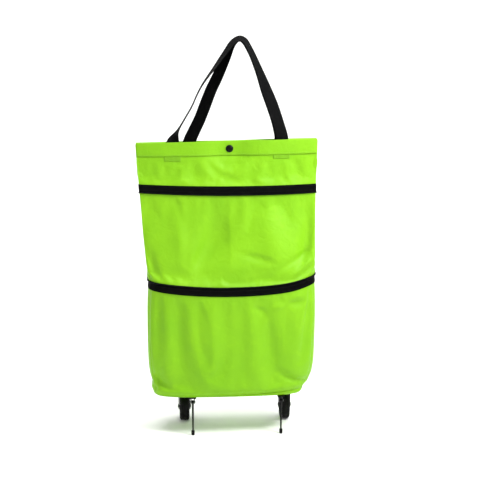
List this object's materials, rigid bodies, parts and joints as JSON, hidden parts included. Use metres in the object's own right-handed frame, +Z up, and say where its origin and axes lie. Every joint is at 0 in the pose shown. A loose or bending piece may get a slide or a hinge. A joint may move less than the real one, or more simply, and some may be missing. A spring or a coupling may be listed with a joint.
{
  "type": "foldable wheeled shopping bag",
  "caption": "Expandable fabric shopping tote with webbing carrying straps, snap mouth, expansion zip, folding wheels and folding front legs",
  "frame": {"origin": "centre of the footprint on the floor, under the middle of the bag", "axes": "+X to the bag's right seen from the front, +Y towards the back (the wheels' side), +Z up; the front faces -Y"},
  "size_m": [0.36, 0.1504, 0.79],
  "materials": {
    "lime_cloth": "coated plain-weave polyester, slight sheen, soft wrinkles",
    "zip_tape": "black woven zip tape, matt",
    "zip_coil": "black nylon coil",
    "webbing": "black ribbed polypropylene webbing",
    "black_plastic": "moulded black plastic, fine texture",
    "foot_rubber": "black rubber cap",
    "tyre_rubber": "black solid rubber tread",
    "zinc_steel": "bright zinc-plated steel",
    "base_board": "dark grey stiffener board"
  },
  "bodies": {
    "bag": {"lower_front_panel": "lime_cloth", "lower_back_panel": "lime_cloth", "lower_left_gusset": "lime_cloth", "lower_right_gusset": "lime_cloth", "middle_front_panel": "lime_cloth", "middle_back_panel": "lime_cloth", "middle_left_gusset": "lime_cloth", "middle_right_gusset": "lime_cloth", "base_panel": "lime_cloth", "base_board": "base_board", "lower_zip_tape": "zip_tape", "lower_zip_coil": "zip_coil", "left_wheel_bracket": "black_plastic", "right_wheel_bracket": "black_plastic", "left_wheel_hinge_pin": "zinc_steel", "right_wheel_hinge_pin": "zinc_steel", "left_leg_bracket": "black_plastic", "right_leg_bracket": "black_plastic", "left_leg_pin": "zinc_steel", "right_leg_pin": "zinc_steel", "base_rivet_1": "zinc_steel", "base_rivet_2": "zinc_steel", "base_rivet_3": "zinc_steel", "base_rivet_4": "zinc_steel", "base_rivet_5": "zinc_steel", "base_rivet_6": "zinc_steel"},
    "upper_section": {"upper_front_panel": "lime_cloth", "upper_back_panel": "lime_cloth", "upper_left_gusset": "lime_cloth", "upper_right_gusset": "lime_cloth", "upper_zip_tape": "zip_tape", "upper_zip_coil": "zip_coil", "snap_cap": "black_plastic", "snap_post": "black_plastic", "snap_socket": "black_plastic", "snap_stud": "black_plastic", "front_strap_left_end": "webbing", "front_strap_right_end": "webbing", "back_strap_left_end": "webbing", "back_strap_right_end": "webbing"},
    "front_strap": {"front_strap": "webbing"},
    "back_strap": {"back_strap": "webbing"},
    "zip_slider": {"zip_slider": "zinc_steel"},
    "zip_pull": {"zip_pull": "zinc_steel"},
    "left_fork": {"left_fork": "black_plastic", "left_axle": "zinc_steel"},
    "right_fork": {"right_fork": "black_plastic", "right_axle": "zinc_steel"},
    "left_wheel": {"left_tyre": "tyre_rubber", "left_wheel_rim": "black_plastic"},
    "right_wheel": {"right_tyre": "tyre_rubber", "right_wheel_rim": "black_plastic"},
    "left_leg": {"left_leg": "black_plastic", "left_foot": "foot_rubber"},
    "right_leg": {"right_leg": "black_plastic", "right_foot": "foot_rubber"}
  },
  "joints": [
    {"name": "zip_collapse", "type": "slide", "parent": "bag", "child": "upper_section", "axis": [0, 0, 1], "range_m": [-0.174, 0], "deforming": ["middle_front_panel", "middle_back_panel", "middle_left_gusset", "middle_right_gusset"]},
    {"name": "front_strap_swing", "type": "hinge", "parent": "upper_section", "child": "front_strap", "pos_m": [0, -0.007, 0.59], "axis": [1, 0, 0], "range_deg": [0, 140]},
    {"name": "back_strap_swing", "type": "hinge", "parent": "upper_section", "child": "back_strap", "pos_m": [0, 0.007, 0.59], "axis": [1, 0, 0], "range_deg": [-140, 0]},
    {"name": "slider_travel", "type": "slide", "parent": "bag", "child": "zip_slider", "axis": [1, 0, 0], "range_m": [0, 0.12]},
    {"name": "pull_swing", "type": "hinge", "parent": "zip_slider", "child": "zip_pull", "pos_m": [-0.06, 0.07357, 0.3025], "axis": [1, 0, 0], "range_deg": [0, 160]},
    {"name": "left_wheel_fold", "type": "hinge", "parent": "bag", "child": "left_fork", "pos_m": [-0.098, 0.04, 0.066], "axis": [0, 1, 0], "range_deg": [-90, 0]},
    {"name": "right_wheel_fold", "type": "hinge", "parent": "bag", "child": "right_fork", "pos_m": [0.098, 0.04, 0.066], "axis": [0, 1, 0], "range_deg": [0, 90]},
    {"name": "left_wheel_spin", "type": "hinge", "parent": "left_fork", "child": "left_wheel", "pos_m": [-0.104, 0.04, 0.029], "axis": [1, 0, 0], "continuous": true},
    {"name": "right_wheel_spin", "type": "hinge", "parent": "right_fork", "child": "right_wheel", "pos_m": [0.104, 0.04, 0.029], "axis": [1, 0, 0], "continuous": true},
    {"name": "left_leg_fold", "type": "hinge", "parent": "bag", "child": "left_leg", "pos_m": [-0.0885, -0.055, 0.068], "axis": [1, 0, 0], "range_deg": [0, 90]},
    {"name": "right_leg_fold", "type": "hinge", "parent": "bag", "child": "right_leg", "pos_m": [0.0885, -0.055, 0.068], "axis": [1, 0, 0], "range_deg": [0, 90]}
  ]
}
